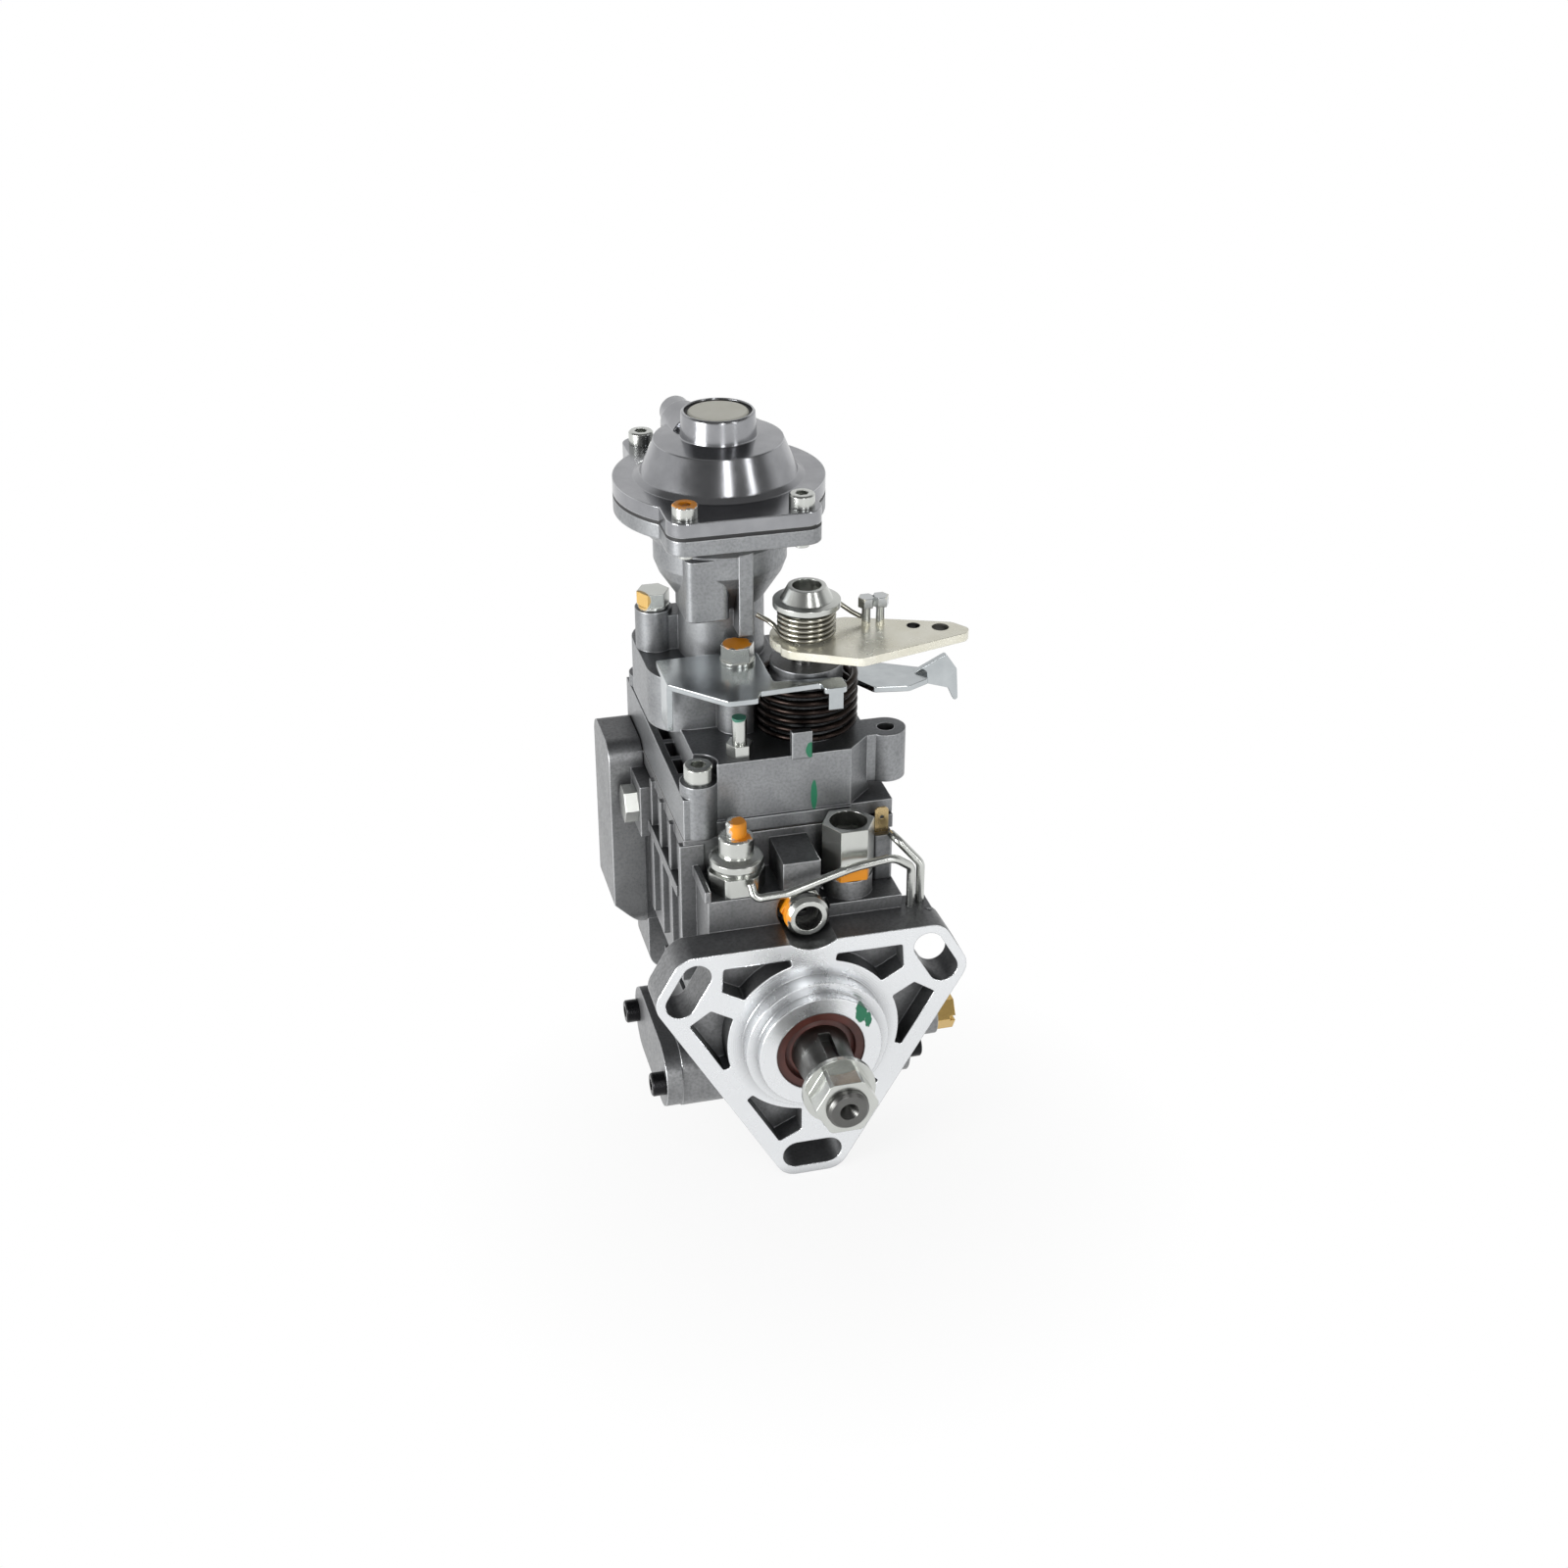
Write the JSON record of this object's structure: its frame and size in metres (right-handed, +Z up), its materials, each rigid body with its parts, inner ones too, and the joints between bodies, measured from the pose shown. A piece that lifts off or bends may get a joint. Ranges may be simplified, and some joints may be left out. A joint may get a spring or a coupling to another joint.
{
  "type": "diesel injection pump",
  "caption": "Distributor-type diesel injection pump with a three-cornered flange, mechanical governor, throttle lever and diaphragm boost compensator.",
  "frame": {"origin": "where the drive shaft's axis meets the mounting flange's front face", "axes": "-Y along the shaft to the engine's gear, +Y to the delivery outlets, +Z up to the boost compensator, +X to the throttle lever's side"},
  "size_m": [0.1212, 0.227, 0.2553],
  "materials": {
    "housing": "sand-cast, bead blasted",
    "governor_cover": "die-cast, bead blasted",
    "cover_gasket": "pressed fibre",
    "housing_screws": "zinc plated",
    "boost_cap": "die-cast",
    "boost_cap_plug": "moulded cream plastic",
    "boost_cap_ring": "moulded",
    "boost_screws": "zinc plated",
    "boost_diaphragm": "fabric reinforced",
    "boost_spring": "oiled",
    "front_bush": "bored bronze",
    "shaft_seal": "moulded brown",
    "pump_cam_ring": "ground",
    "pump_support_plate": "ground",
    "governor_pins": "ground",
    "governor_spring": "oiled",
    "plunger_springs": "oiled",
    "timing_spring": "oiled",
    "timing_covers": "die-cast",
    "timing_cover_screws": "black oxide",
    "distributor_head": "turned",
    "delivery_valve_holders": "zinc plated",
    "centre_plug": "zinc plated",
    "stop_solenoid": "zinc plated",
    "inlet_fitting": "zinc plated",
    "return_fitting": "zinc plated",
    "front_fitting": "zinc plated",
    "bleed_pipes": "drawn tube, zinc plated",
    "side_switch": "cast",
    "spade_terminal": "stamped",
    "passage_plugs": "zinc plated",
    "full_load_adjuster": "zinc plated",
    "spring_bracket": "stamped, zinc plated",
    "bracket_bolts": "zinc plated",
    "cable_bracket": "stamped, zinc plated",
    "return_spring": "oil tempered",
    "drive_shaft": "ground",
    "shaft_nut": "zinc plated",
    "vane_rotor": "ground",
    "drive_gear": "hobbed",
    "cross_disc": "ground",
    "cam_disc": "ground",
    "distributor_plunger": "lapped",
    "flyweight_carrier": "sintered",
    "flyweights": "sintered",
    "sliding_sleeve": "ground",
    "governor_lever": "stamped",
    "control_spool": "lapped",
    "roller_ring": "ground",
    "timing_piston": "turned",
    "control_shaft": "ground",
    "throttle_lever": "stamped, yellow zinc",
    "lever_collar": "turned, zinc plated",
    "lever_spring": "oiled",
    "boost_guide_pin": "ground",
    "solenoid_armature": "turned",
    "delivery_valves": "lapped"
  },
  "bodies": {
    "housing": {"housing": "housing", "governor_cover": "governor_cover", "cover_gasket": "cover_gasket", "housing_screws": "housing_screws", "boost_cap": "boost_cap", "boost_cap_plug": "boost_cap_plug", "boost_cap_ring": "boost_cap_ring", "boost_screws": "boost_screws", "boost_diaphragm": "boost_diaphragm", "boost_spring": "boost_spring", "front_bush": "front_bush", "shaft_seal": "shaft_seal", "pump_cam_ring": "pump_cam_ring", "pump_support_plate": "pump_support_plate", "governor_pins": "governor_pins", "governor_spring": "governor_spring", "plunger_springs": "plunger_springs", "timing_spring": "timing_spring", "timing_covers": "timing_covers", "timing_cover_screws": "timing_cover_screws", "distributor_head": "distributor_head", "delivery_valve_holders": "delivery_valve_holders", "centre_plug": "centre_plug", "stop_solenoid": "stop_solenoid", "inlet_fitting": "inlet_fitting", "return_fitting": "return_fitting", "front_fitting": "front_fitting", "bleed_pipes": "bleed_pipes", "side_switch": "side_switch", "spade_terminal": "spade_terminal", "passage_plugs": "passage_plugs", "full_load_adjuster": "full_load_adjuster", "spring_bracket": "spring_bracket", "bracket_bolts": "bracket_bolts", "cable_bracket": "cable_bracket", "return_spring": "return_spring"},
    "drive_shaft": {"drive_shaft": "drive_shaft", "shaft_nut": "shaft_nut", "vane_rotor": "vane_rotor", "drive_gear": "drive_gear", "cross_disc": "cross_disc", "cam_disc": "cam_disc", "distributor_plunger": "distributor_plunger"},
    "governor": {"flyweight_carrier": "flyweight_carrier", "flyweights": "flyweights"},
    "sleeve": {"sliding_sleeve": "sliding_sleeve"},
    "governor_lever": {"governor_lever": "governor_lever"},
    "control_spool": {"control_spool": "control_spool"},
    "roller_ring": {"roller_ring": "roller_ring"},
    "timing_piston": {"timing_piston": "timing_piston"},
    "control_lever": {"control_shaft": "control_shaft", "throttle_lever": "throttle_lever", "lever_collar": "lever_collar", "lever_spring": "lever_spring"},
    "boost_pin": {"boost_guide_pin": "boost_guide_pin"},
    "solenoid_armature": {"solenoid_armature": "solenoid_armature"},
    "valve_1": {"delivery_valve_1": "delivery_valves"},
    "valve_2": {"delivery_valve_2": "delivery_valves"},
    "valve_3": {"delivery_valve_3": "delivery_valves"},
    "valve_4": {"delivery_valve_4": "delivery_valves"}
  },
  "joints": [
    {"name": "shaft_spin", "type": "hinge", "parent": "housing", "child": "drive_shaft", "pos_m": [0, 0, 0], "axis": [0, 1, 0], "continuous": true},
    {"name": "governor_spin", "type": "hinge", "parent": "housing", "child": "governor", "pos_m": [0, 0, 0.045], "axis": [0, 1, 0], "continuous": true},
    {"name": "lever_swing", "type": "hinge", "parent": "housing", "child": "governor_lever", "pos_m": [0, 0.09545, 0.028], "axis": [-1, 0, 0], "range_deg": [0, 6.4]},
    {"name": "sleeve_slide", "type": "slide", "parent": "housing", "child": "sleeve", "axis": [0, 1, 0], "range_m": [0, 0.002]},
    {"name": "spool_slide", "type": "slide", "parent": "housing", "child": "control_spool", "axis": [0, 1, 0], "range_m": [-0.002, 0]},
    {"name": "timing_slide", "type": "slide", "parent": "housing", "child": "timing_piston", "axis": [-1, 0, 0], "range_m": [0, 0.008], "deforming": ["timing_spring"]},
    {"name": "ring_turn", "type": "hinge", "parent": "housing", "child": "roller_ring", "pos_m": [0, 0, 0], "axis": [0, 1, 0], "range_deg": [0, 12.4]},
    {"name": "throttle_turn", "type": "hinge", "parent": "housing", "child": "control_lever", "pos_m": [0.0115, 0.054, 0], "axis": [0, 0, 1], "range_deg": [0, 45], "stiffness_Nm_per_rad": 0.6, "springref_deg": -34.38},
    {"name": "boost_slide", "type": "slide", "parent": "housing", "child": "boost_pin", "axis": [0, 0, -1], "range_m": [0, 0.004], "stiffness_N_per_m": 3000, "springref_m": -0.003, "deforming": ["boost_spring"]},
    {"name": "armature_slide", "type": "slide", "parent": "housing", "child": "solenoid_armature", "axis": [0, 0, 1], "range_m": [0, 0.0015]},
    {"name": "valve_lift_1", "type": "slide", "parent": "housing", "child": "valve_1", "axis": [0, 1, 0], "range_m": [0, 0.0015], "stiffness_N_per_m": 1000, "springref_m": -0.003},
    {"name": "valve_lift_2", "type": "slide", "parent": "housing", "child": "valve_2", "axis": [0, 1, 0], "range_m": [0, 0.0015], "stiffness_N_per_m": 1000, "springref_m": -0.003},
    {"name": "valve_lift_3", "type": "slide", "parent": "housing", "child": "valve_3", "axis": [0, 1, 0], "range_m": [0, 0.0015], "stiffness_N_per_m": 1000, "springref_m": -0.003},
    {"name": "valve_lift_4", "type": "slide", "parent": "housing", "child": "valve_4", "axis": [0, 1, 0], "range_m": [0, 0.0015], "stiffness_N_per_m": 1000, "springref_m": -0.003}
  ],
  "couplings": [
    {"joint": "governor_spin", "follows": "shaft_spin", "ratio": -1.1429},
    {"joint": "sleeve_slide", "follows": "lever_swing", "m_per_rad": 0.017},
    {"joint": "spool_slide", "follows": "lever_swing", "m_per_rad": -0.0175},
    {"joint": "ring_turn", "follows": "timing_slide", "rad_per_m": 27.027}
  ]
}
